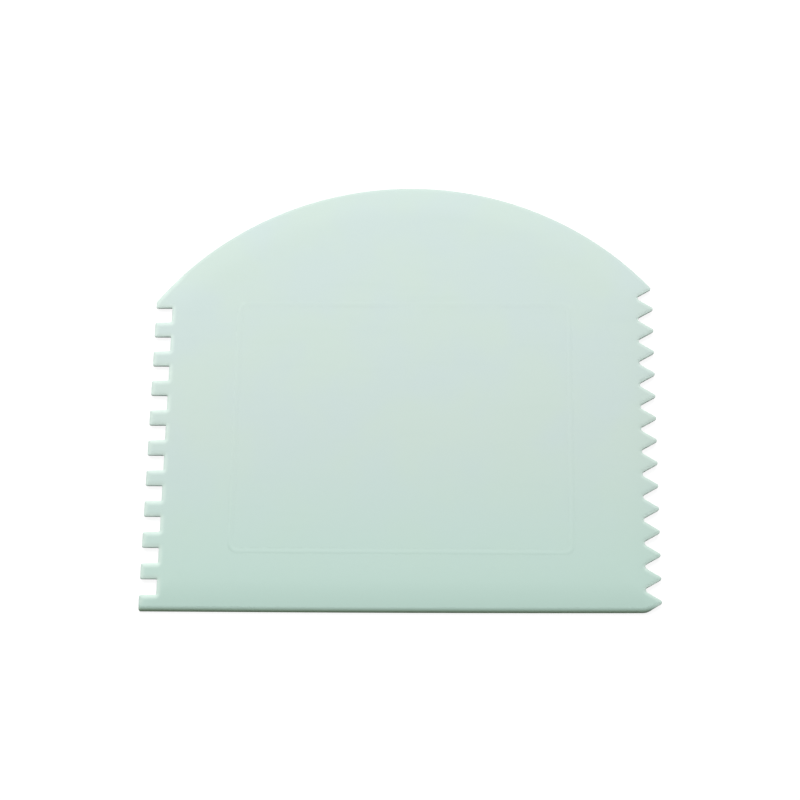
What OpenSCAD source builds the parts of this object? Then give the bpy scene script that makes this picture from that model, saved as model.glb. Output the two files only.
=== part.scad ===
// Icing smoother: a thin moulded sheet with a straight edge, a curved edge and a comb on each side.
// The sheet lies flat. +X runs from the square comb to the pointed comb, +Y from the straight edge
// to the curved one, and +Z up through the thickness. The origin is under the middle of the sheet.

/* [Sheet] */
// Width over the tips of both combs
overall_w = 120; // [100:1:140]
// Height from the straight edge to the top of the curved edge
overall_h = 106.8; // [95:0.1:125]
// Thickness of the flat middle
sheet_t = 1.8; // [1.5:0.1:3]
// Radius of the curved edge
arc_r = 77.3; // [74:0.1:100]
// How far the curved edge's centre lies to the right of the middle
arc_offset = 1.35; // [0:0.05:3]

/* [Rim] */
// Width of the rim, where the face rolls down towards each edge
rim_w = 8; // [5:0.5:11]
// How much thinner the sheet is at its edges than in the middle
rim_drop = 0.4; // [0.1:0.1:0.8]

/* [Both combs] */
// How much of each comb's lowest tooth the straight edge cuts away
tooth_cut = 0.12; // [0:0.01:0.5]

/* [Square comb] */
// Distance from one square tooth to the next
square_pitch = 7.5; // [5:0.1:10]
// Width of a square tooth
square_tooth_w = 3.75; // [2:0.05:4]
// Depth of the square notches
square_depth = 4; // [2:0.1:5]
// Radius of a square tooth's outer corners
square_corner_r = 0.35; // [0.1:0.05:0.8]

/* [Pointed comb] */
// Distance from one pointed tooth to the next
point_pitch = 5.55; // [5.2:0.05:8]
// Depth of the gaps between the pointed teeth
point_depth = 3.6; // [2:0.1:3.8]
// Angle between the two flanks of a tooth, in degrees
point_angle = 60; // [50:1:64]
// Radius of a pointed tooth's tip
point_tip_r = 0.55; // [0.2:0.05:0.8]

/* [Raised rectangle] */
// Distance from the roots of the teeth to the raised line
panel_side = 15.9; // [12:0.1:25]
// Distance from the straight edge to the raised line
panel_foot = 13.4; // [12:0.1:25]
// Distance from the top of the curved edge to the raised line
panel_head = 30.3; // [30:0.1:45]
// Radius of the rectangle's outer corners
panel_corner_r = 2.4; // [2.2:0.1:5]
// Width of the raised line
line_w = 1.5; // [0.5:0.1:2]
// Height of the raised line above the face
line_h = 0.05; // [0.03:0.01:0.3]

/* [Hidden] */
mint = [0.81, 0.89, 0.85];
// Straight pieces that the rim's roll and a rounded corner are drawn with
rim_steps = 4;
corner_steps = 6;
// Extra reach of a cutting shape past what it cuts
over = 1;
arc_fn = 180;

half_w = overall_w / 2;
left_root_x = -half_w + square_depth;
right_root_x = half_w - point_depth;
arc_y = overall_h - arc_r;

// Height above the straight edge at which the curved edge passes the given x
function arc_height(x) = arc_y + sqrt(arc_r * arc_r - pow(x - arc_offset, 2));

// The topmost tooth of each comb is the one that the curved edge cuts
square_count = floor((arc_height(-half_w) + tooth_cut) / square_pitch) + 1;
point_count = round((arc_height(half_w) + tooth_cut) / point_pitch + 0.5);

// Points [distance in from the edge, height] of the face's roll, from the edge inwards
function rim_roll() = [
    for (i = [0:rim_steps])
        let (u = 1 - i / rim_steps)
        [rim_w * (1 - u), sheet_t - rim_drop * u * u]
];

// Outline of a rectangle with round corners, anticlockwise
function rounded_rectangle(x0, y0, x1, y1, r) = [
    for (corner = [[x1 - r, y1 - r, 0], [x0 + r, y1 - r, 90], [x0 + r, y0 + r, 180], [x1 - r, y0 + r, 270]])
        for (i = [0:corner_steps])
            let (a = corner[2] + 90 * i / corner_steps)
            [corner[0] + r * cos(a), corner[1] + r * sin(a)]
];

// Section of the sheet across its width, x against z, thinner at both edges
module width_section() {
    roll = rim_roll();
    polygon(concat(
        [[-half_w, 0], [half_w, 0]],
        [for (p = roll) [half_w - p[0], p[1]]],
        [for (i = [rim_steps:-1:0]) [-half_w + roll[i][0], roll[i][1]]]
    ));
}

// Section of the sheet across its height, y against z, thinner at the straight edge only
module height_section() {
    top = overall_h + over;
    polygon(concat(
        [[top, 0], [top, sheet_t]],
        [for (i = [rim_steps:-1:0]) rim_roll()[i]],
        [[0, 0]]
    ));
}

// Half section of the disc whose edge is the curved edge, thinner at that edge
module disc_section() {
    polygon(concat(
        [[0, 0], [arc_r, 0]],
        [for (p = rim_roll()) [arc_r - p[0], p[1]]],
        [[0, sheet_t]]
    ));
}

// The whole sheet over both combs, before the notches, from the straight edge up to the curved one
module full_sheet() {
    intersection() {
        translate([arc_offset, arc_y, 0])
            rotate_extrude($fn = arc_fn)
                disc_section();
        translate([0, overall_h, 0])
            rotate([90, 0, 0])
                linear_extrude(overall_h)
                    width_section();
        translate([-half_w, 0, 0])
            rotate([90, 0, 90])
                linear_extrude(overall_w)
                    height_section();
    }
}

// A block of the given x and y range that reaches past both faces
module slab(x0, y0, x1, y1) {
    translate([x0, y0, -over])
        cube([x1 - x0, y1 - y0, sheet_t + 2 * over]);
}

// Plan of the raised rectangle, drawn in from its outer outline by the given inset
module panel_plan(inset) {
    x0 = left_root_x + panel_side;
    x1 = right_root_x - panel_side;
    y1 = overall_h - panel_head;
    polygon(rounded_rectangle(
        x0 + inset, panel_foot + inset, x1 - inset, y1 - inset, panel_corner_r - inset
    ));
}

// Plan of one square tooth, from its root outwards, with its lower side at y = 0 and the given length
module square_tooth(length) {
    r = square_corner_r;
    tip = -half_w;
    polygon(concat(
        [[left_root_x, 0], [left_root_x, length]],
        [for (i = [0:corner_steps]) let (a = 90 + 90 * i / corner_steps)
            [tip + r + r * cos(a), length - r + r * sin(a)]],
        [for (i = [0:corner_steps]) let (a = 180 + 90 * i / corner_steps)
            [tip + r + r * cos(a), r + r * sin(a)]]
    ));
}

// Plan of one pointed tooth whose tip lies at y = 0. Its lower side is a flank that meets the round
// tip. Its upper side is a like flank, or rises straight for the given reach under the curved edge.
module pointed_tooth(reach) {
    flank = point_angle / 2;
    tip_x = half_w - point_tip_r;
    root_y = (tip_x + point_tip_r / sin(flank) - right_root_x) * tan(flank);
    turn = 90 - flank;
    arc_end = reach > 0 ? 0 : turn;
    polygon(concat(
        [[right_root_x, -root_y]],
        [for (i = [0:corner_steps]) let (a = -turn + (arc_end + turn) * i / corner_steps)
            [tip_x + point_tip_r * cos(a), point_tip_r * sin(a)]],
        reach > 0 ? [[half_w, reach], [right_root_x, reach]] : [[right_root_x, root_y]]
    ));
}

// Everything is drawn with the straight edge at y = 0, and stands here about the middle
module centred() {
    translate([0, -overall_h / 2, 0])
        children();
}

module blade() {
    color(mint)
        centred()
            intersection() {
                full_sheet();
                slab(left_root_x, -over, right_root_x, overall_h + over);
            }
}

// Low line that stands on the blade's flat middle as a rectangle
module raised_line() {
    color(mint)
        centred()
            translate([0, 0, sheet_t])
                linear_extrude(line_h)
                    difference() {
                        panel_plan(0);
                        panel_plan(line_w);
                    }
}

module square_comb() {
    color(mint)
        centred()
            intersection() {
                full_sheet();
                translate([0, 0, -over])
                    linear_extrude(sheet_t + 2 * over)
                        for (k = [0:square_count - 1]) {
                            y = k * square_pitch - tooth_cut;
                            translate([0, y])
                                square_tooth(k < square_count - 1 ? square_tooth_w : overall_h - y);
                        }
            }
}

module pointed_comb() {
    color(mint)
        centred()
            intersection() {
                full_sheet();
                translate([0, 0, -over])
                    linear_extrude(sheet_t + 2 * over)
                        for (k = [0:point_count - 1]) {
                            y = (k + 0.5) * point_pitch - tooth_cut;
                            translate([0, y])
                                pointed_tooth(k < point_count - 1 ? 0 : overall_h - y);
                        }
            }
}

blade();
raised_line();
square_comb();
pointed_comb();
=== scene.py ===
"""Icing smoother in pale mint plastic, lying on a white studio floor.

The tool is one thin moulded sheet: a straight edge in front, a curved edge at the back,
a comb of square teeth on the left and a comb of pointed teeth on the right, with a fine
raised rectangle on its face. The sheet is meshed in one go, so that its surface runs on
without a break, and is then parted where the teeth leave the blade. Lengths here are in
millimetres, and the meshes in metres.
"""

import logging
import math
from collections.abc import Callable, Iterator, Mapping
from dataclasses import astuple, dataclass, field
from enum import Enum

import bmesh
import bpy
import numpy as np
from mathutils import Matrix, Vector
from mathutils.geometry import delaunay_2d_cdt
from mathutils.kdtree import KDTree


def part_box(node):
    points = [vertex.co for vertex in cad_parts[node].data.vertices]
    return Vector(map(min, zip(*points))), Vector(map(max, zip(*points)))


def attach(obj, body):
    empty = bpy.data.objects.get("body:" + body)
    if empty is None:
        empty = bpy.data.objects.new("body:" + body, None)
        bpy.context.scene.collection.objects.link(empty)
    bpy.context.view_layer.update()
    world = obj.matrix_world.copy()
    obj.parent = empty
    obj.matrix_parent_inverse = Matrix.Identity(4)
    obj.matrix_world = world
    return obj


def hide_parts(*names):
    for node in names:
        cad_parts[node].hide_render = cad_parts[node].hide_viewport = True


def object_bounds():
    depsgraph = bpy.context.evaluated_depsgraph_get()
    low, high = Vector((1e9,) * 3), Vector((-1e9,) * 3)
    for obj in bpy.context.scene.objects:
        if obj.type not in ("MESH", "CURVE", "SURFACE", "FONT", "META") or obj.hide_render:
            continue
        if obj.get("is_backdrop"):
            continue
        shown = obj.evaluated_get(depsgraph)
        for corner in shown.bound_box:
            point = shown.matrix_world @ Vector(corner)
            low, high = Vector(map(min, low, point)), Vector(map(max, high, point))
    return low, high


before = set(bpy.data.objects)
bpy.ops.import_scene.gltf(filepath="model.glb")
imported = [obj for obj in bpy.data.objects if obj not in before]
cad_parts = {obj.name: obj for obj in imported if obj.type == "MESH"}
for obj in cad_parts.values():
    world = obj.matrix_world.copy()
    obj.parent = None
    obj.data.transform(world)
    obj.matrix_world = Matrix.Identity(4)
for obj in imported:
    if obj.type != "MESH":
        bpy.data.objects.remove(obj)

CAD_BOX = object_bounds()
BODY = "root"

# Metres in a millimetre, and the millimetres below which two places count as one
MM = 0.001
SAME = 1e-6

# Values at the points of a mesh: its painted edge highlight and shade, for the finish,
# and its exact normals
PAINTED_EDGE = "painted_edge"
NORMAL = "normal"

# Sockets of a Mix node that carry its two colours in and its colour out
FIRST_COLOUR, SECOND_COLOUR, MIXED_COLOUR = 6, 7, 2

log = logging.getLogger("icing_smoother")


class Part(Enum):
    """The parts of the moulding: each piece's name, and the CAD node it stands for."""

    BLADE = ("blade_sheet", "blade")
    SQUARE_COMB = ("square_teeth", "square_comb")
    POINTED_COMB = ("pointed_teeth", "pointed_comb")
    RAISED_LINE = ("panel_line", "raised_line")

    @property
    def piece(self) -> str:
        """Name of the piece in the scene."""
        return self.value[0]

    @property
    def node(self) -> str:
        """Name of the CAD node."""
        return self.value[1]


class Wire:
    """An output socket of a shader graph, for use in Python expressions."""

    def __init__(self, graph: "Graph", socket: bpy.types.NodeSocket) -> None:
        """Keep the socket and the graph that it belongs to."""
        self.graph = graph
        self.socket = socket

    def _math(self, operation: str, first: "Value", second: "Value") -> "Wire":
        """Add a Math node.

        Args:
            operation: The node's operation.
            first: Its first value.
            second: Its second value.

        Returns:
            The node's output.
        """
        return self.graph.node(
            "ShaderNodeMath", {"operation": operation}, {0: first, 1: second}
        )

    def __add__(self, other: "Value") -> "Wire":
        """self + other"""
        return self._math("ADD", self, other)

    def __radd__(self, other: "Value") -> "Wire":
        """other + self"""
        return self._math("ADD", other, self)

    def __sub__(self, other: "Value") -> "Wire":
        """self - other"""
        return self._math("SUBTRACT", self, other)

    def __rsub__(self, other: "Value") -> "Wire":
        """other - self"""
        return self._math("SUBTRACT", other, self)

    def __mul__(self, other: "Value") -> "Wire":
        """self * other"""
        return self._math("MULTIPLY", self, other)

    def __rmul__(self, other: "Value") -> "Wire":
        """other * self"""
        return self._math("MULTIPLY", other, self)


Value = float | tuple[float, ...] | Wire


class Graph:
    """The shader nodes of a material or the world."""

    def __init__(self, tree: bpy.types.NodeTree) -> None:
        """Start from an empty tree."""
        self.tree = tree
        tree.nodes.clear()

    def node(
        self,
        kind: str,
        settings: Mapping[str, object] | None = None,
        inputs: Mapping[str | int, Value] | None = None,
        output: str | int = 0,
    ) -> Wire:
        """Add a node.

        Args:
            kind: The node's type.
            settings: Its properties, which are set before its sockets.
            inputs: Values or links of its input sockets, by name or number.
            output: The output socket to return, by name or number.

        Returns:
            The output socket.
        """
        made = self.tree.nodes.new(kind)
        for name, value in (settings or {}).items():
            setattr(made, name, value)
        for key, value in (inputs or {}).items():
            socket = made.inputs[key]
            if isinstance(value, Wire):
                self.tree.links.new(value.socket, socket)
            else:
                socket.default_value = value
        return Wire(self, made.outputs[output])

    def end(self, kind: str, surface: Wire) -> None:
        """Add the output node of the given type, and lead the surface to it."""
        made = self.tree.nodes.new(kind)
        self.tree.links.new(surface.socket, made.inputs["Surface"])

    def noise(self, where: Wire, scale: float, detail: float) -> Wire:
        """Add a noise pattern.

        Args:
            where: The point to read the pattern at.
            scale: Its waves per unit of length.
            detail: How many finer layers it has.

        Returns:
            The pattern, about 0.5 in the mean.
        """
        inputs = {"Vector": where, "Scale": scale, "Detail": detail}
        return self.node("ShaderNodeTexNoise", inputs=inputs, output="Fac")

    def ramp(self, value: Value, low: float, high: float) -> Wire:
        """Ease from 0 to 1, with a smooth start and end.

        Args:
            value: The value to read.
            low: The value at which the result is 0.
            high: The value at which the result is 1.

        Returns:
            The eased value.
        """
        settings = {"interpolation_type": "SMOOTHSTEP"}
        inputs = {"Value": value, "From Min": low, "From Max": high}
        return self.node("ShaderNodeMapRange", settings, inputs)

    def blend(self, factor: Value, first: Value, second: Value) -> Wire:
        """Mix two colours, from the first at factor 0 to the second at factor 1."""
        inputs = {"Factor": factor, FIRST_COLOUR: first, SECOND_COLOUR: second}
        return self.node("ShaderNodeMix", {"data_type": "RGBA"}, inputs, MIXED_COLOUR)


Colour = tuple[float, float, float, float]


def grey(level: float) -> Colour:
    """Colour of the given grey."""
    return level, level, level, 1.0


@dataclass(frozen=True)
class SatinPlastic:
    """Satin moulded polypropylene, with clouds, a fine grain, scuffs, and painted light and
    shade on its edges.

    The colour deepens towards the straight edge, between two places along Y: painted
    shading, as the light on the face falls off that way. The mesh says where an edge gets a
    painted highlight, from 0 to 1, and where it gets a dark painted shade instead, from 0
    to -1. Lengths are in millimetres, and scales in waves a millimetre.
    """

    colour: Colour = (0.538, 0.665, 0.634, 1.0)
    cloudy_colour: Colour = (0.548, 0.68, 0.615, 1.0)
    cloud_scale: float = 0.05
    cloud_range: tuple[float, float] = (0.35, 0.65)
    cloud_roughness: float = 0.06
    painted_shading_colour: Colour = (0.517, 0.71, 0.63, 1.0)
    painted_shading_range: tuple[float, float] = (-56.0, -5.0)
    painted_edge_shade_colour: Colour = (0.27, 0.43, 0.25, 1.0)
    painted_edge_highlight_colour: Colour = (0.80, 0.95, 0.865, 1.0)
    highlight_noise_scale: float = 0.45
    highlight_noise_swing: float = 1.2
    highlight_noise_least: float = 0.4
    grain_scale: float = 3.2
    grain_height: float = 0.004
    grain_roughness: float = 0.10
    fine_detail: float = 3.0
    scuff_stretch: tuple[float, float, float] = (0.05, 1.3, 1.0)
    scuff_detail: float = 2.0
    scuff_range: tuple[float, float] = (0.58, 0.72)
    scuff_roughness: float = 0.05
    roughness: float = 0.363
    ior: float = 1.49

    def material(self, name: str) -> bpy.types.Material:
        """Make the material.

        Args:
            name: The material's name.

        Returns:
            The new material.
        """
        made = bpy.data.materials.new(name)
        made.use_nodes = True
        graph = Graph(made.node_tree)
        place = graph.node("ShaderNodeTexCoord", output="Object")
        millimetres = graph.node(
            "ShaderNodeVectorMath",
            {"operation": "SCALE"},
            {0: place, "Scale": 1 / MM},
        )
        clouds = graph.noise(millimetres, self.cloud_scale, self.fine_detail)
        grain = graph.noise(millimetres, self.grain_scale, self.fine_detail)
        normal = graph.node(
            "ShaderNodeBump",
            inputs={
                "Strength": 1.0,
                "Distance": self.grain_height * MM,
                "Height": grain,
            },
        )
        shader = graph.node(
            "ShaderNodeBsdfPrincipled",
            inputs={
                "Base Color": self._colour(graph, millimetres, clouds),
                "Roughness": self._roughness(graph, millimetres, clouds, grain),
                "IOR": self.ior,
                "Normal": normal,
            },
        )
        graph.end("ShaderNodeOutputMaterial", shader)
        return made

    def _colour(self, graph: Graph, place: Wire, clouds: Wire) -> Wire:
        """Colour over the surface.

        Args:
            graph: The material's graph.
            place: The place on the object, in millimetres.
            clouds: The pattern of the clouds.

        Returns:
            The colour.
        """
        cloudy = graph.ramp(clouds, *self.cloud_range)
        colour = graph.blend(cloudy, self.colour, self.cloudy_colour)
        # Painted shading: the colour deepens towards the straight edge, as the light on the
        # face falls off that way.
        along = graph.node("ShaderNodeSeparateXYZ", inputs={0: place}, output="Y")
        painted_shading = 1 - graph.ramp(along, *self.painted_shading_range)
        colour = graph.blend(painted_shading, colour, self.painted_shading_colour)
        painted_edge = graph.node("ShaderNodeAttribute", {"attribute_name": PAINTED_EDGE}, output="Fac")
        # Painted shade: a dark olive on the straight edge's rounding, where the point
        # values fall below 0.
        colour = graph.blend(0 - painted_edge, colour, self.painted_edge_shade_colour)
        # Painted highlight: a paler tint on the other edges' roundings, uneven in strength,
        # where the point values rise above 0.
        highlight_noise = graph.noise(place, self.highlight_noise_scale, self.fine_detail)
        painted_edge_amount = painted_edge * (highlight_noise * self.highlight_noise_swing + self.highlight_noise_least)
        return graph.blend(painted_edge_amount, colour, self.painted_edge_highlight_colour)

    def _roughness(
        self, graph: Graph, place: Wire, clouds: Wire, grain: Wire
    ) -> Wire:
        """Roughness over the surface.

        Args:
            graph: The material's graph.
            place: The place on the object, in millimetres.
            clouds: The pattern of the clouds.
            grain: The pattern of the grain.

        Returns:
            The roughness.
        """
        stretched = graph.node(
            "ShaderNodeVectorMath",
            {"operation": "MULTIPLY"},
            {0: place, 1: self.scuff_stretch},
        )
        pattern = graph.noise(stretched, 1.0, self.scuff_detail)
        scuffs = graph.ramp(pattern, *self.scuff_range)
        return (
            self.roughness
            + (clouds - 0.5) * self.cloud_roughness
            + (grain - 0.5) * self.grain_roughness
            + scuffs * self.scuff_roughness
        )


@dataclass(frozen=True)
class WhiteFloor:
    """White studio floor. The camera sees it white but for the object's shadow on it."""

    seen_colour: float = 0.22
    seen_glow: float = 0.895
    mirrored_colour: float = 0.8
    bounce_colour: float = 0.5

    def material(self, name: str) -> bpy.types.Material:
        """Make the material.

        Args:
            name: The material's name.

        Returns:
            The new material.
        """
        made = bpy.data.materials.new(name)
        made.use_nodes = True
        graph = Graph(made.node_tree)
        glow = graph.node(
            "ShaderNodeEmission",
            inputs={"Color": grey(1.0), "Strength": self.seen_glow},
        )
        lit, bounce, mirrored = (
            graph.node("ShaderNodeBsdfDiffuse", inputs={"Color": grey(level)})
            for level in (self.seen_colour, self.bounce_colour, self.mirrored_colour)
        )
        seen = graph.node("ShaderNodeAddShader", inputs={0: lit, 1: glow})
        camera = graph.node("ShaderNodeLightPath", output="Is Camera Ray")
        glossy = graph.node("ShaderNodeLightPath", output="Is Glossy Ray")
        transmitted = graph.node("ShaderNodeLightPath", output="Is Transmission Ray")
        unseen = graph.node(
            "ShaderNodeMixShader", inputs={0: glossy, 1: bounce, 2: mirrored}
        )
        shader = graph.node(
            "ShaderNodeMixShader",
            inputs={0: camera + transmitted, 1: unseen, 2: seen},
        )
        graph.end("ShaderNodeOutputMaterial", shader)
        return made


@dataclass(frozen=True)
class Corner:
    """A corner of the sheet's outline, and the radius that it is rounded with."""

    x: float
    y: float
    radius: float = 0.0

    @property
    def point(self) -> np.ndarray:
        """The sharp corner as an array."""
        return np.array([self.x, self.y])


@dataclass
class CurvedEdge:
    """The curved edge at the back: an arc of a circle."""

    radius: float = 77.3
    centre_x: float = 1.35
    top: float = CAD_BOX[1].y / MM
    step: float = 1.0

    @property
    def centre(self) -> np.ndarray:
        """Centre of the arc."""
        return np.array([self.centre_x, self.top - self.radius])

    def height(self, x: float) -> float:
        """Y at which the arc passes the given x, in its upper half."""
        return self.centre[1] + math.sqrt(self.radius**2 - (x - self.centre_x) ** 2)

    def meeting(self, start: np.ndarray, heading: float) -> np.ndarray:
        """Find where a line from inside the circle meets the arc.

        Args:
            start: A point of the line inside the circle.
            heading: The line's direction, in degrees from +X.

        Returns:
            The point where the line leaves the circle.
        """
        way = np.array(
            [math.cos(math.radians(heading)), math.sin(math.radians(heading))]
        )
        offset = start - self.centre
        along = offset @ way
        return start + way * (
            math.sqrt(along**2 - offset @ offset + self.radius**2) - along
        )

    def corners(self, right: np.ndarray, left: np.ndarray) -> list[Corner]:
        """Points of the arc between its two ends, without the ends.

        Args:
            right: Its right end.
            left: Its left end.

        Returns:
            The points from right to left.
        """
        first = math.atan2(*(right - self.centre)[::-1])
        last = math.atan2(*(left - self.centre)[::-1])
        count = round((last - first) * self.radius / self.step)
        angles = np.linspace(first, last, count + 1)[1:-1]
        return [
            Corner(
                self.centre[0] + self.radius * math.cos(a),
                self.centre[1] + self.radius * math.sin(a),
            )
            for a in angles
        ]


@dataclass
class PointedComb:
    """The comb of pointed teeth up the right side."""

    tip_x: float = CAD_BOX[1].x / MM
    root_x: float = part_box(Part.BLADE.node)[1].x / MM
    pitch: float = 5.55
    angle: float = 60.0
    cut: float = 0.12
    tip_radius: float = 0.55
    last_tip_radius: float = 0.5
    first_root_radius: float = 3.0

    def corners(self, foot: float, rise: float, edge: CurvedEdge) -> list[Corner]:
        """Outline of the comb from the straight edge up to the curved edge.

        Args:
            foot: Y of the straight edge.
            rise: How much higher the straight edge ends at the comb.
            edge: The curved edge, which cuts the last tooth.

        Returns:
            The corners, the last of them on the curved edge.
        """
        flank = math.radians(self.angle / 2)
        apex_x = self.tip_x + self.tip_radius * (1 / math.sin(flank) - 1)
        depth = self.pitch / 2 / math.tan(flank)
        root_x = apex_x - depth
        root_radius = (self.root_x - root_x) / (1 / math.sin(flank) - 1)
        start = root_x + (self.cut + rise) / math.tan(flank)
        found = [Corner(start, foot + rise, self.first_root_radius)]
        y = foot - self.cut
        while y + self.pitch / 2 < edge.height(self.tip_x):
            found.append(Corner(apex_x, y + self.pitch / 2, self.tip_radius))
            y += self.pitch
            found.append(Corner(root_x, y, root_radius))
        end = edge.meeting(found[-1].point, self.angle / 2)
        return [*found, Corner(*end, self.last_tip_radius)]


@dataclass
class SquareComb:
    """The comb of square teeth down the left side."""

    tip_x: float = CAD_BOX[0].x / MM
    root_x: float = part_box(Part.BLADE.node)[0].x / MM
    pitch: float = 7.5
    tooth: float = 3.75
    cut: float = 0.12
    tip_radius: float = 0.38
    root_radius: float = 0.35
    last_tip_radius: float = 0.5

    def corners(self, foot: float, edge: CurvedEdge) -> list[Corner]:
        """Outline of the comb from the curved edge down to the straight edge.

        Args:
            foot: Y of the straight edge.
            edge: The curved edge, which ends the last tooth.

        Returns:
            The corners, the first of them on the curved edge.
        """
        top = edge.height(self.tip_x)
        count = math.floor((top - foot + self.cut) / self.pitch) + 1
        found = [Corner(self.tip_x, top, self.last_tip_radius)]
        for k in range(count - 1, 0, -1):
            y = foot + k * self.pitch - self.cut
            below = y - self.pitch + self.tooth
            found += [
                Corner(self.tip_x, y, self.tip_radius),
                Corner(self.root_x, y, self.root_radius),
                Corner(self.root_x, below, self.root_radius),
                Corner(self.tip_x, below, self.tip_radius),
            ]
        return [*found, Corner(self.tip_x, foot, self.tip_radius)]


@dataclass(frozen=True)
class EdgeRounding:
    """How the faces turn into the wall along an edge, over a quarter of an ellipse each.

    The upper face starts to turn at reach from the edge and falls by fall, and the
    underside likewise by under_reach and under_rise. The value for the finish says how
    strong a painted highlight the edge gets, or below 0 how strong a dark painted shade. It
    dies away over the turn, the faster the larger fade is.
    """

    reach: float
    fall: float
    under_reach: float
    under_rise: float
    painted_edge: float
    fade: float

    def values(self) -> np.ndarray:
        """All six values as an array."""
        return np.array(astuple(self))


@dataclass(frozen=True)
class EdgeSide:
    """The sheet's edge on one side, with a place, step or value for each outline point.

    side is 1 for the upper side and -1 for the underside. inward is the step that moves a
    point in by an inset of 1, and outward the way that the wall faces. The edge turns over
    a quarter of an ellipse of the given reach and depth.
    """

    side: int
    outline: np.ndarray
    inward: np.ndarray
    outward: np.ndarray
    reach: np.ndarray
    depth: np.ndarray
    painted_edge: np.ndarray
    fade: np.ndarray

    def moved(self, inset: np.ndarray) -> np.ndarray:
        """The outline, moved in by an inset for each of its points."""
        return self.outline + self.inward * inset[:, None]


class Skin:
    """Points, normals and faces of a mesh while it is being made, in millimetres."""

    def __init__(self) -> None:
        """Start empty."""
        self.places: list[np.ndarray] = []
        self.normals: list[np.ndarray] = []
        self.painted_edges: list[np.ndarray] = []
        self.faces: list[tuple[int, ...]] = []
        self.count = 0

    def add(
        self, flat: np.ndarray, height: np.ndarray, normal: np.ndarray, painted_edge: np.ndarray
    ) -> int:
        """Add points.

        Args:
            flat: Their places seen from above.
            height: Their heights.
            normal: Their normals, of any length.
            painted_edge: Strength of their painted highlight, up to 1, or of their dark
                painted shade, down to -1.

        Returns:
            The number of the first of them.
        """
        self.places.append(np.column_stack([flat, height]))
        self.normals.append(normal / np.linalg.norm(normal, axis=1)[:, None])
        self.painted_edges.append(painted_edge)
        self.count += len(flat)
        return self.count - len(flat)

    def strip(self, upper: int, lower: int, count: int) -> None:
        """Join two closed rings with quads.

        Args:
            upper: Number of the upper ring's first point.
            lower: Number of the lower ring's first point.
            count: How many points each ring has.
        """
        for i in range(count):
            k = (i + 1) % count
            self.faces.append((upper + i, lower + i, lower + k, upper + k))

    def mesh(self) -> bmesh.types.BMesh:
        """Make the mesh.

        Returns:
            The mesh in metres, with exact normals and painted edge light and shade in
            layers of its points.
        """
        made = bmesh.new()
        exact = made.verts.layers.float_vector.new(NORMAL)
        painted_edge_amount = made.verts.layers.float.new(PAINTED_EDGE)
        for place, normal, painted_edge in zip(
            np.vstack(self.places) * MM, np.vstack(self.normals), np.hstack(self.painted_edges)
        ):
            vert = made.verts.new(place)
            vert[exact] = normal
            vert[painted_edge_amount] = painted_edge
        made.verts.ensure_lookup_table()
        for face in self.faces:
            made.faces.new([made.verts[v] for v in face]).smooth = True
        return made


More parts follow.
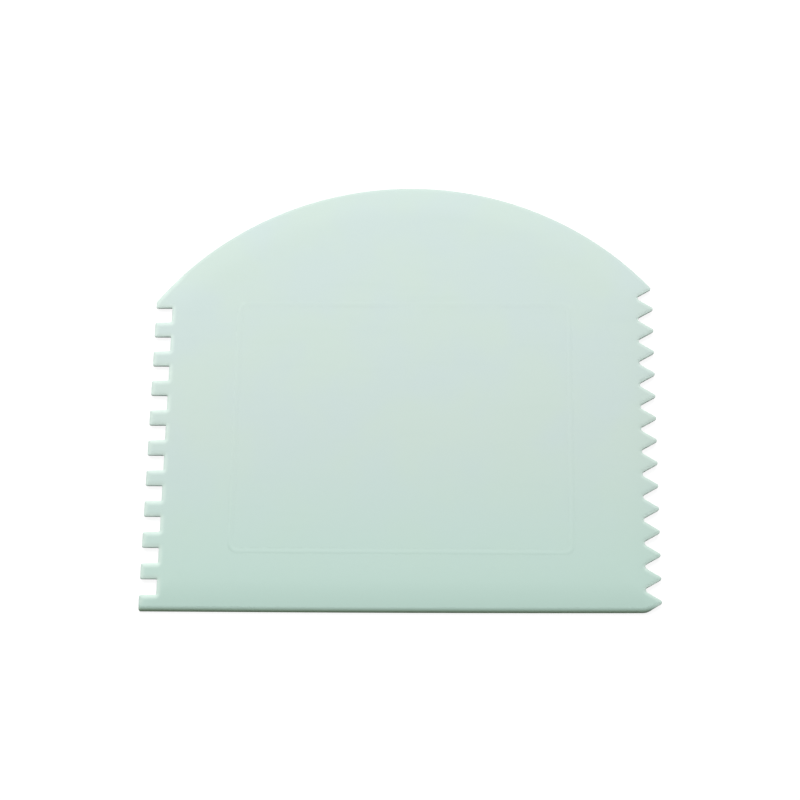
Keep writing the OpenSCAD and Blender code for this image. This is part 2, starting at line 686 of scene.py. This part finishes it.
@dataclass
class Sheet:
    """The whole moulded sheet: the blade with both combs.

    The straight edge rises by foot_rise to its right end, from rise_from on. The upper face
    rolls down by rim_drop over a rim along every edge. Within change of the teeth, and
    foot_change of the straight edge, their roundings take over from the curved edge's.
    The mesh follows the edge in rings up to ring_reach and then in rows, and fills the rest
    from a lattice, finer on the rim. The combs are parted from the blade a seam's width
    outside the roots.
    """

    foot: float = CAD_BOX[0].y / MM
    foot_rise: float = 0.36
    rise_from: float = -36.0
    foot_step: float = 4.0
    thickness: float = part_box(Part.BLADE.node)[1].z / MM
    rim_w: float = 8.0
    rim_drop: float = 0.4
    rim_blend: float = 6.0
    curved: CurvedEdge = field(default_factory=CurvedEdge)
    square: SquareComb = field(default_factory=SquareComb)
    pointed: PointedComb = field(default_factory=PointedComb)
    # Each rounding also says how its edge is painted: a dark painted shade on the straight
    # edge, painted highlights on the curved edge and the teeth.
    scraping: EdgeRounding = EdgeRounding(
        reach=1.1, fall=0.68, under_reach=0.05, under_rise=0.05, painted_edge=-1.0, fade=2.5
    )
    smoothing: EdgeRounding = EdgeRounding(
        reach=0.8, fall=0.15, under_reach=0.3, under_rise=0.3, painted_edge=0.42, fade=1.7
    )
    square_teeth: EdgeRounding = EdgeRounding(
        reach=1.3, fall=0.3, under_reach=0.8, under_rise=1.05, painted_edge=0.75, fade=1.3
    )
    pointed_teeth: EdgeRounding = EdgeRounding(
        reach=1.0, fall=0.2, under_reach=0.8, under_rise=1.12, painted_edge=0.65, fade=2.0
    )
    # Share of the edges' painted highlight or shade that the underside gets.
    under_painted_edge: float = 0.5
    least_wall: float = 0.05
    foot_change: float = 2.0
    change: float = 4.0
    turn_step: float = 15.0
    outline_step: float = 0.6
    ring_reach: float = 0.28
    ring_steps: int = 5
    row_steps: int = 4
    row_gap: float = 0.09
    row_slack: float = 0.01
    row_samples: int = 8
    rim_step: float = 1.0
    middle_step: float = 4.0
    lattice_clearance: float = 0.45
    seam: float = 0.15
    cut_weld: float = 1e-4

    def outline(self) -> np.ndarray:
        """Outline of the sheet seen from above.

        Returns:
            Its points anticlockwise, one in a row.
        """
        right = self.pointed.corners(self.foot, self.foot_rise, self.curved)
        left = self.square.corners(self.foot, self.curved)
        arc = self.curved.corners(right[-1].point, left[0].point)
        length = right[0].x - self.rise_from
        straight = [
            Corner(self.rise_from + x, self.foot + self.foot_rise * (x / length) ** 2)
            for x in np.arange(0.0, length - self.foot_step, self.foot_step)
        ]
        corners = [*right, *arc, *left, *straight]
        rounded = []
        for before, corner, after in zip(
            corners[-1:] + corners[:-1], corners, corners[1:] + corners[:1]
        ):
            rounded += self._round(before.point, corner, after.point)
        points = []
        for start, end in zip(rounded, rounded[1:] + rounded[:1]):
            count = max(1, math.ceil(np.linalg.norm(end - start) / self.outline_step))
            points += [start + (end - start) * i / count for i in range(count)]
        return np.array(points)

    def _round(
        self, before: np.ndarray, corner: Corner, after: np.ndarray
    ) -> list[np.ndarray]:
        """Round one corner.

        Args:
            before: The outline's point before it.
            corner: The corner.
            after: The outline's point after it.

        Returns:
            The points that replace the corner.
        """
        if corner.radius == 0:
            return [corner.point]
        way_in = (corner.point - before) / np.linalg.norm(corner.point - before)
        way_out = (after - corner.point) / np.linalg.norm(after - corner.point)
        turn = math.atan2(
            way_in[0] * way_out[1] - way_in[1] * way_out[0], way_in @ way_out
        )
        side = math.copysign(1.0, turn)
        start = corner.point - way_in * corner.radius * math.tan(abs(turn) / 2)
        centre = start + side * corner.radius * np.array([-way_in[1], way_in[0]])
        count = math.ceil(abs(turn) / math.radians(self.turn_step))
        points = []
        for i in range(count + 1):
            c, s = math.cos(turn * i / count), math.sin(turn * i / count)
            points.append(centre + np.array([[c, -s], [s, c]]) @ (start - centre))
        return points

    def face(self, points: np.ndarray) -> tuple[np.ndarray, np.ndarray]:
        """Height and slope of the upper face, which rolls down towards every edge.

        Args:
            points: Places seen from above, one in a row.

        Returns:
            The height at each place, and its gradient.
        """
        x, y = points.T
        away = points - self.curved.centre
        reach = np.maximum(np.linalg.norm(away, axis=1), SAME)
        nearness = [
            (1 - (x - self.square.tip_x) / self.rim_w, (-1.0, 0.0)),
            (1 - (self.pointed.tip_x - x) / self.rim_w, (1.0, 0.0)),
            (1 - (y - self.foot) / self.rim_w, (0.0, -1.0)),
            (1 - (self.curved.radius - reach) / self.rim_w, away / reach[:, None]),
        ]
        power = self.rim_blend
        total = np.zeros(len(points))
        slope = np.zeros((len(points), 2))
        for near, outward in nearness:
            near = np.clip(near, 0.0, None)
            total += near**power
            slope += (near ** (power - 1) / self.rim_w)[:, None] * np.broadcast_to(
                outward, slope.shape
            )
        drop = self.rim_drop * total ** (2 / power)
        factor = np.zeros_like(total)
        rolled = total > 0
        factor[rolled] = -2 * self.rim_drop * total[rolled] ** (2 / power - 1)
        return self.thickness - drop, slope * factor[:, None]

    def _rounding(self, outline: np.ndarray) -> np.ndarray:
        """Roundings along the edge.

        Args:
            outline: The outline's points.

        Returns:
            The six values of the rounding, one value in a row.
        """
        x, y = outline.T
        values = np.tile(self.smoothing.values(), (len(outline), 1))
        for away, kind, change in (
            (x - self.square.root_x - self.seam, self.square_teeth, self.change),
            (self.pointed.root_x - self.seam - x, self.pointed_teeth, self.change),
            (y - self.foot, self.scraping, self.foot_change),
        ):
            share = np.clip(1 - away / change, 0.0, 1.0)[:, None]
            values += (kind.values() - values) * share**2 * (3 - 2 * share)
        return values.T

    def _ring_turn(self, edge: EdgeSide) -> np.ndarray:
        """How far round the edge's rounding the innermost ring lies, in radians."""
        return np.arccos(1 - np.minimum(1.0, self.ring_reach / edge.reach))

    def _rows(self, edge: EdgeSide) -> tuple[np.ndarray, np.ndarray, np.ndarray]:
        """Points in rows along the edge, over the inner part of its rounding.

        Args:
            edge: The edge on one side of the sheet.

        Returns:
            The points, their insets, and the numbers of the outline points they stem from.
        """
        samples = self.row_samples
        wall = KDTree(len(edge.outline) * samples)
        after = np.roll(edge.outline, -1, axis=0)
        for i, (start, end) in enumerate(zip(edge.outline, after)):
            for j in range(samples):
                wall.insert((*(start + (end - start) * j / samples), 0.0), i)
        wall.balance()
        first = self._ring_turn(edge)
        points, insets, sources = [], [], []
        taken: dict[tuple[int, int], list[np.ndarray]] = {}
        for step in range(1, self.row_steps + 1):
            angle = first + (math.pi / 2 - first) * step / self.row_steps
            inset = edge.reach * (1 - np.cos(angle))
            for i, point in enumerate(edge.moved(inset)):
                if inset[i] < self.ring_reach + self.row_gap / 2:
                    continue
                if wall.find((*point, 0.0))[2] < inset[i] - self.row_slack:
                    continue
                cell = tuple(int(v) for v in np.floor(point / self.row_gap))
                near = [
                    p
                    for dx in (-1, 0, 1)
                    for dy in (-1, 0, 1)
                    for p in taken.get((cell[0] + dx, cell[1] + dy), ())
                ]
                if all(np.linalg.norm(p - point) >= self.row_gap for p in near):
                    taken.setdefault(cell, []).append(point)
                    points.append(point)
                    insets.append(inset[i])
                    sources.append(i)
        return np.array(points), np.array(insets), np.array(sources)

    def _lattice(
        self,
        ring: np.ndarray,
        step: float,
        placed: np.ndarray,
        on_roll: bool = False,
    ) -> np.ndarray:
        """Points of a triangular lattice inside a ring.

        Args:
            ring: The ring's points.
            step: Distance between the lattice's points.
            placed: Points that the lattice stays clear of.
            on_roll: Whether it covers only the upper face's roll.

        Returns:
            The points.
        """
        low, high = ring.min(axis=0), ring.max(axis=0)
        rows = np.arange(low[1], high[1], step * math.sqrt(0.75))
        columns = np.arange(low[0], high[0], step)
        x, y = np.meshgrid(columns, rows)
        x[1::2] += step / 2
        points = np.column_stack([x.ravel(), y.ravel()])
        if on_roll:
            points = points[self.face(points)[0] < self.thickness - SAME]
        inside = np.zeros(len(points), bool)
        for (x0, y0), (x1, y1) in zip(ring, np.roll(ring, -1, axis=0)):
            if y0 != y1:
                crosses = (points[:, 1] > min(y0, y1)) & (points[:, 1] <= max(y0, y1))
                at = x0 + (points[:, 1] - y0) * (x1 - x0) / (y1 - y0)
                inside ^= crosses & (points[:, 0] < at)
        points = points[inside]
        tree = KDTree(len(placed))
        for i, (px, py) in enumerate(placed):
            tree.insert((px, py, 0.0), i)
        tree.balance()
        least = self.lattice_clearance * step
        clear = [tree.find((px, py, 0.0))[2] > least for px, py in points]
        return points[np.array(clear, bool)]

    @property
    def seams(self) -> tuple[float, float]:
        """X of the two lines along which the combs are parted from the blade."""
        return self.square.root_x - self.seam, self.pointed.root_x + self.seam

    def _fill(self, ring: np.ndarray, inner: np.ndarray) -> list[tuple[int, ...]]:
        """Triangulate the area inside a ring.

        Args:
            ring: The ring's points, anticlockwise.
            inner: Points inside the ring.

        Returns:
            The triangles. Their numbers count the ring's points first, then the inner.
        """
        points = [Vector(p) for p in (*ring, *inner)]
        inside_only = 1
        _, _, faces, origins, _, _ = delaunay_2d_cdt(
            points, [], [list(range(len(ring)))], inside_only, SAME
        )
        return [tuple(min(origins[v]) for v in face) for face in faces]

    @staticmethod
    def _inward(outline: np.ndarray) -> np.ndarray:
        """Find the step that moves each point of an outline in by an inset of 1.

        Args:
            outline: The outline's points, anticlockwise.

        Returns:
            The steps, which move both sides of each point in by 1.
        """
        along = np.roll(outline, -1, axis=0) - outline
        after = np.column_stack([-along[:, 1], along[:, 0]])
        after /= np.linalg.norm(after, axis=1)[:, None]
        before = np.roll(after, 1, axis=0)
        return (before + after) / (1 + (before * after).sum(axis=1))[:, None]

    def solid(self) -> bmesh.types.BMesh:
        """Mesh the whole sheet.

        Returns:
            The mesh in metres, with exact normals and painted edge light and shade in
            layers of its points.
        """
        outline = self.outline()
        inward = self._inward(outline)
        outward = -inward / np.linalg.norm(inward, axis=1)[:, None]
        reach, fall, under_reach, under_rise, painted_edge, fade = self._rounding(outline)
        room = self.face(outline)[0] - fall - self.least_wall
        under_rise = np.minimum(under_rise, room)
        # The underside gets part of the edge's painted highlight or shade.
        under_painted_edge = painted_edge * self.under_painted_edge
        plan = (outline, inward, outward)
        skin = Skin()
        upper = self._side(skin, EdgeSide(1, *plan, reach, fall, painted_edge, fade))
        lower = self._side(
            skin, EdgeSide(-1, *plan, under_reach, under_rise, under_painted_edge, fade)
        )
        skin.strip(upper, lower, len(outline))
        return skin.mesh()

    def _side(self, skin: Skin, edge: EdgeSide) -> int:
        """Mesh one side of the sheet, with the rounding of its edge.

        Args:
            skin: The mesh to add to.
            edge: The edge on this side.

        Returns:
            The number of the first point of the outermost ring.
        """
        side, count = edge.side, len(edge.outline)
        everyone = np.arange(count)
        last = self._ring_turn(edge)
        rings = []
        for i in range(self.ring_steps + 1):
            inset = edge.reach * (1 - np.cos(last * i / self.ring_steps))
            flat = edge.moved(inset)
            rings.append(self._place(skin, edge, flat, inset, everyone))
        for outer, inner in zip(rings, rings[1:]):
            skin.strip(*((inner, outer) if side > 0 else (outer, inner)), count)
        rows, insets, sources = self._rows(edge)
        start = self._place(skin, edge, rows, insets, sources)
        placed = np.vstack([flat, rows])
        inner = np.empty((0, 2))
        if side > 0:
            inner = self._lattice(flat, self.rim_step, placed, on_roll=True)
        placed = np.vstack([placed, inner])
        inner = np.vstack([inner, self._lattice(flat, self.middle_step, placed)])
        height, slope = self._height(inner, side)
        normal = np.column_stack([-side * slope, np.full(len(inner), side)])
        skin.add(inner, height, normal, np.zeros(len(inner)))
        for triangle in self._fill(flat, np.vstack([rows, inner])):
            face = [v + (rings[-1] if v < count else start - count) for v in triangle]
            skin.faces.append(tuple(face[::side]))
        return rings[0]

    def _place(
        self,
        skin: Skin,
        edge: EdgeSide,
        flat: np.ndarray,
        inset: np.ndarray,
        sources: np.ndarray,
    ) -> int:
        """Add points that lie on the edge's rounding.

        Args:
            skin: The mesh to add to.
            edge: The edge on one side of the sheet.
            flat: The points' places seen from above.
            inset: How far in from the outline each lies.
            sources: The numbers of the outline points that they stem from.

        Returns:
            The number of the first of them.
        """
        reach, depth = edge.reach[sources], edge.depth[sources]
        level = np.clip(1 - inset / reach, 0.0, 1.0)
        rise = np.sqrt(1 - level**2)
        up = reach * rise
        height, slope = self._height(flat, edge.side)
        away = (
            edge.outward[sources] * (depth * level)[:, None]
            - edge.side * slope * up[:, None]
        )
        # The edge's painted highlight or shade dies away over the rounding.
        return skin.add(
            flat,
            height - edge.side * depth * (1 - rise),
            np.column_stack([away, edge.side * up]),
            edge.painted_edge[sources] * level ** edge.fade[sources],
        )

    def _height(self, points: np.ndarray, side: int) -> tuple[np.ndarray, np.ndarray]:
        """Height and slope of one side of the sheet.

        Args:
            points: Places seen from above, one in a row.
            side: 1 for the upper side, -1 for the flat underside.

        Returns:
            The height at each place, and its gradient.
        """
        if side < 0:
            return np.zeros(len(points)), np.zeros((len(points), 2))
        return self.face(points)

    def build(self) -> dict[Part, bpy.types.Object]:
        """Mesh the sheet and part the combs from the blade.

        Returns:
            The three pieces.
        """
        whole = self.solid()
        left, right = (x * MM for x in self.seams)
        for x in (left, right):
            bmesh.ops.bisect_plane(
                whole,
                geom=[*whole.verts, *whole.edges, *whole.faces],
                dist=self.cut_weld * MM,
                plane_co=(x, 0, 0),
                plane_no=(1, 0, 0),
            )
        pieces = {
            Part.BLADE: self._part(whole, Part.BLADE, lambda x: left < x < right),
            Part.SQUARE_COMB: self._part(whole, Part.SQUARE_COMB, lambda x: x < left),
            Part.POINTED_COMB: self._part(
                whole, Part.POINTED_COMB, lambda x: x > right
            ),
        }
        whole.free()
        return pieces

    def _part(
        self, whole: bmesh.types.BMesh, part: Part, wanted: Callable[[float], bool]
    ) -> bpy.types.Object:
        """Make one piece from the part of the sheet between given x.

        Args:
            whole: The whole sheet, cut along its seams.
            part: Which part this is.
            wanted: Says of the x of a face's middle whether the part has that face.

        Returns:
            The piece, closed where it was parted, and shaded as the whole sheet is.
        """
        cut = whole.copy()
        layer = cut.verts.layers.float_vector[NORMAL]
        others = [f for f in cut.faces if not wanted(f.calc_center_median().x)]
        bmesh.ops.delete(cut, geom=others, context="FACES")
        rims = [e for e in cut.edges if e.is_boundary]
        caps = bmesh.ops.holes_fill(cut, edges=rims, sides=0)["faces"]
        for cap in caps:
            cap.normal_update()
            if wanted(cap.calc_center_median().x + cap.normal.x * self.seam * MM):
                cap.normal_flip()
                cap.normal_update()
            cap.smooth = False
            for edge in cap.edges:
                edge.smooth = False
        flat = set(caps)
        normals = []
        for face in cut.faces:
            for corner in face.verts:
                normals.append(
                    face.normal.copy() if face in flat else corner[layer].copy()
                )
        cut.verts.layers.float_vector.remove(layer)
        mesh = bpy.data.meshes.new(part.piece)
        cut.to_mesh(mesh)
        cut.free()
        mesh.normals_split_custom_set(normals)
        piece = bpy.data.objects.new(part.piece, mesh)
        bpy.context.scene.collection.objects.link(piece)
        return piece


@dataclass
class RaisedLine:
    """The low raised line that stands on the face as a rectangle.

    Its section is a smooth hump, whose crest is skewed outwards and differs in height from
    side to side. It goes a little way into the face, so that nothing shows under it.
    """

    low: Vector = field(default_factory=lambda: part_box(Part.RAISED_LINE.node)[0] / MM)
    high: Vector = field(default_factory=lambda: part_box(Part.RAISED_LINE.node)[1] / MM)
    width: float = 1.5
    skew: float = 0.3
    foot_crest: float = 0.015
    left_crest: float = 0.05
    right_crest: float = 0.033
    head_crest: float = 0.007
    corner_radius: float = 2.4
    sunk: float = 0.05
    across: int = 12
    turn_steps: int = 8
    step: float = 2.0
    sharp_angle: float = 60.0

    def build(self) -> dict[Part, bpy.types.Object]:
        """Mesh the line as a closed ring with a smooth rounded crest.

        Returns:
            The piece.
        """
        half = self.width / 2
        face = self.low.z
        section = [(-half, -self.sunk, 0.0)]
        for i in range(self.across + 1):
            t = -1 + 2 * i / self.across
            flank = (t - self.skew) / (math.copysign(1, t - self.skew) - self.skew)
            section.append((t * half, 0.0, math.cos(math.pi / 2 * flank) ** 2))
        section.append((half, -self.sunk, 0.0))
        made = bmesh.new()
        loops = []
        for place, out in self._path(half):
            side = self.left_crest if out.x < 0 else self.right_crest
            end = self.foot_crest if out.y < 0 else self.head_crest
            crest = side * out.x**2 + end * out.y**2
            loops.append(
                [
                    made.verts.new(
                        Vector((*(place + out * t), face + base + crest * share)) * MM
                    )
                    for t, base, share in section
                ]
            )
        for loop, after in zip(loops, loops[1:] + loops[:1]):
            for i in range(len(section)):
                k = (i + 1) % len(section)
                made.faces.new((loop[k], after[k], after[i], loop[i])).smooth = True
        made.normal_update()
        for edge in made.edges:
            edge.smooth = edge.calc_face_angle(0.0) < math.radians(self.sharp_angle)
        mesh = bpy.data.meshes.new(Part.RAISED_LINE.piece)
        made.to_mesh(mesh)
        made.free()
        piece = bpy.data.objects.new(Part.RAISED_LINE.piece, mesh)
        bpy.context.scene.collection.objects.link(piece)
        return {Part.RAISED_LINE: piece}

    def _path(self, inset: float) -> Iterator[tuple[Vector, Vector]]:
        """Walk round the rectangle's centre line.

        Args:
            inset: Distance of the centre line from the rectangle's outer edge.

        Yields:
            Each point of the line and its outward direction.
        """
        radius = self.corner_radius - inset
        middle = (self.low + self.high).xy / 2
        reach = (self.high - self.low).xy / 2 - Vector((1, 1)) * self.corner_radius
        points = []
        for quarter, (sx, sy) in enumerate(((1, 1), (-1, 1), (-1, -1), (1, -1))):
            centre = middle + Vector((reach.x * sx, reach.y * sy))
            for i in range(self.turn_steps + 1):
                angle = math.pi / 2 * (quarter + i / self.turn_steps)
                out = Vector((math.cos(angle), math.sin(angle)))
                points.append((centre + out * radius, out))
        for (start, out), (end, _) in zip(points, points[1:] + points[:1]):
            count = max(1, math.ceil((end - start).length / self.step))
            for i in range(count):
                yield start.lerp(end, i / count), out


def dress(pieces: Mapping[Part, bpy.types.Object], material: bpy.types.Material) -> None:
    """Give pieces their finish and let them stand for their CAD nodes.

    Args:
        pieces: The pieces by part.
        material: Their material.
    """
    for part, piece in pieces.items():
        piece.data.materials.append(material)
        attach(piece, BODY)
        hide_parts(part.node)
        log.info(
            "%s stands for %s: %d faces",
            piece.name,
            part.node,
            len(piece.data.polygons),
        )


@dataclass(frozen=True)
class ViewPoint:
    """Camera on a stand that looks down at the tool from in front."""

    aim: tuple[float, float] = (-0.542, -1.542)
    distance: float = 459.816
    elevation: float = 70.41
    azimuth: float = 5.83
    roll: float = -5.33
    lens: float = 86.8455
    clip_range: tuple[float, float] = (10.0, 20000.0)

    def build(self) -> bpy.types.Object:
        """Make the camera and let the scene look through it.

        Returns:
            The camera.
        """
        data = bpy.data.cameras.new("camera")
        data.lens = self.lens
        data.clip_start, data.clip_end = (limit * MM for limit in self.clip_range)
        camera = bpy.data.objects.new("camera", data)
        bpy.context.scene.collection.objects.link(camera)
        camera.matrix_world = (
            Matrix.Translation((self.aim[0] * MM, self.aim[1] * MM, 0.0))
            @ Matrix.Rotation(math.radians(self.azimuth), 4, "Z")
            @ Matrix.Rotation(math.radians(90 - self.elevation), 4, "X")
            @ Matrix.Rotation(math.radians(self.roll), 4, "Z")
            @ Matrix.Translation((0.0, 0.0, self.distance * MM))
        )
        bpy.context.scene.camera = camera
        return camera


@dataclass(frozen=True)
class SoftBox:
    """A rectangular lamp behind a diffuser."""

    name: str
    place: tuple[float, float, float]
    aim: tuple[float, float, float]
    size: tuple[float, float]
    radiance: float
    colour: tuple[float, float, float] = (1.0, 1.0, 1.0)

    def build(self) -> bpy.types.Object:
        """Make the lamp and turn it towards its aim.

        Returns:
            The lamp.
        """
        data = bpy.data.lights.new(self.name, "AREA")
        data.shape = "RECTANGLE"
        data.size, data.size_y = (side * MM for side in self.size)
        data.energy = self.radiance * math.pi * data.size * data.size_y
        data.color = self.colour
        lamp = bpy.data.objects.new(self.name, data)
        bpy.context.scene.collection.objects.link(lamp)
        lamp.location = Vector(self.place) * MM
        away = Vector(self.place) - Vector(self.aim)
        lamp.rotation_euler = away.to_track_quat("Z", "Y").to_euler()
        return lamp


@dataclass
class Studio:
    """White floor, a soft lamp and a dim room."""

    floor_size: float = 6000.0
    floor_gap: float = 0.02
    room_light: float = 0.15
    finish: WhiteFloor = field(default_factory=WhiteFloor)
    lamp: SoftBox = SoftBox(
        name="key_lamp",
        place=(-151.0, 404.0, 623.0),
        aim=(-150.0, -100.0, 0.0),
        size=(1100.0, 609.0),
        radiance=3.66,
    )

    def build(self) -> None:
        """Make the floor, the lamp and the room's light."""
        bm = bmesh.new()
        half = self.floor_size * MM / 2
        bmesh.ops.create_grid(bm, x_segments=1, y_segments=1, size=half)
        mesh = bpy.data.meshes.new("floor")
        bm.to_mesh(mesh)
        bm.free()
        floor = bpy.data.objects.new("floor", mesh)
        floor.location.z = -self.floor_gap * MM
        bpy.context.scene.collection.objects.link(floor)
        mesh.materials.append(self.finish.material("white_floor"))
        floor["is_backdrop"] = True
        self.lamp.build()
        self._room()

    def _room(self) -> None:
        """Light the room dimly, and show it white to the camera."""
        world = bpy.data.worlds.new("room")
        bpy.context.scene.world = world
        world.use_nodes = True
        graph = Graph(world.node_tree)
        seen = graph.node("ShaderNodeBackground", inputs={"Color": grey(1.0)})
        dim = graph.node(
            "ShaderNodeBackground",
            inputs={"Color": grey(1.0), "Strength": self.room_light},
        )
        camera = graph.node("ShaderNodeLightPath", output="Is Camera Ray")
        glossy = graph.node("ShaderNodeLightPath", output="Is Glossy Ray")
        transmitted = graph.node("ShaderNodeLightPath", output="Is Transmission Ray")
        shader = graph.node(
            "ShaderNodeMixShader",
            inputs={0: camera + glossy + transmitted, 1: dim, 2: seen},
        )
        graph.end("ShaderNodeOutputWorld", shader)


def save_sizes() -> None:
    boxes = {"cad": CAD_BOX, "visual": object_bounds()}
    plain = {name: [list(corner) for corner in box] for name, box in boxes.items()}


def main() -> None:
    """Build the camera, the moulding and the studio."""
    logging.basicConfig(level=logging.INFO, format="%(name)s: %(message)s")
    bpy.context.scene.view_settings.view_transform = "Standard"
    ViewPoint().build()
    plastic = SatinPlastic().material("satin_mint_plastic")
    for maker in (Sheet(), RaisedLine()):
        dress(maker.build(), plastic)
    Studio().build()
    save_sizes()


if __name__ == "__main__":
    main()
